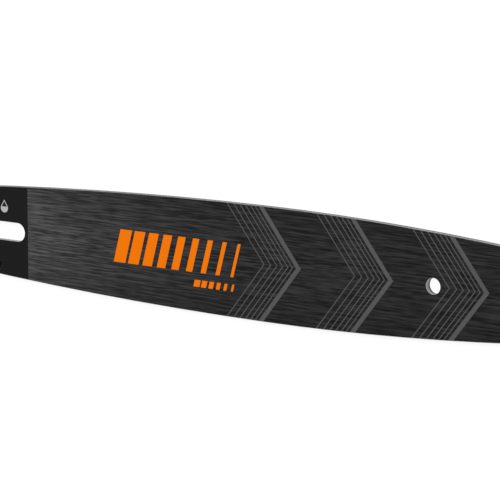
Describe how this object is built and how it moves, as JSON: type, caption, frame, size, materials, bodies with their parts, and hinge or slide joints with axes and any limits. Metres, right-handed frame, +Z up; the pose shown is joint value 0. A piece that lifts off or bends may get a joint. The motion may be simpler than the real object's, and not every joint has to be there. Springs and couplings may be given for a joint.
{
  "type": "chainsaw guide bar",
  "caption": "Flat laminated steel bar with a rounded sprocket nose, a chain groove round its edge, and a stud slot and tensioner holes at its tail; guides a saw chain.",
  "frame": {"origin": "centre of the stud slot, on the lower clamping face", "axes": "+X along the bar from the slot to the nose, +Y across the bar, +Z up through its thickness"},
  "size_m": [0.4762, 0.0716, 0.0043],
  "materials": {
    "coated_steel": "brushed black coating on steel sheet",
    "core_steel": "bare steel sheet, oiled",
    "sprocket_steel": "hardened and ground",
    "bearing_steel": "ground bearing steel",
    "rivet_steel": "ground flush",
    "polyamide": "glass-filled, as moulded"
  },
  "bodies": {
    "bar": {"side_plate_lower": "coated_steel", "side_plate_upper": "coated_steel", "core_plate": "core_steel", "nose_hub": "bearing_steel", "hub_rivets": "rivet_steel", "core_insert_1": "polyamide", "core_insert_2": "polyamide", "core_insert_3": "polyamide"},
    "sprocket": {"nose_sprocket": "sprocket_steel"},
    "roller_set": {"roller_01": "bearing_steel", "roller_02": "bearing_steel", "roller_03": "bearing_steel", "roller_04": "bearing_steel", "roller_05": "bearing_steel", "roller_06": "bearing_steel", "roller_07": "bearing_steel", "roller_08": "bearing_steel", "roller_09": "bearing_steel", "roller_10": "bearing_steel", "roller_11": "bearing_steel", "roller_12": "bearing_steel", "roller_13": "bearing_steel", "roller_14": "bearing_steel", "roller_15": "bearing_steel", "roller_16": "bearing_steel", "roller_17": "bearing_steel", "roller_18": "bearing_steel"}
  },
  "joints": [
    {"name": "sprocket_spin", "type": "hinge", "parent": "bar", "child": "sprocket", "pos_m": [0.397, 0, 0.00215], "axis": [0, 0, 1], "continuous": true},
    {"name": "roller_orbit", "type": "hinge", "parent": "bar", "child": "roller_set", "pos_m": [0.397, 0, 0.00215], "axis": [0, 0, 1], "continuous": true}
  ],
  "couplings": [
    {"joint": "roller_orbit", "follows": "sprocket_spin", "ratio": 0.58705}
  ]
}
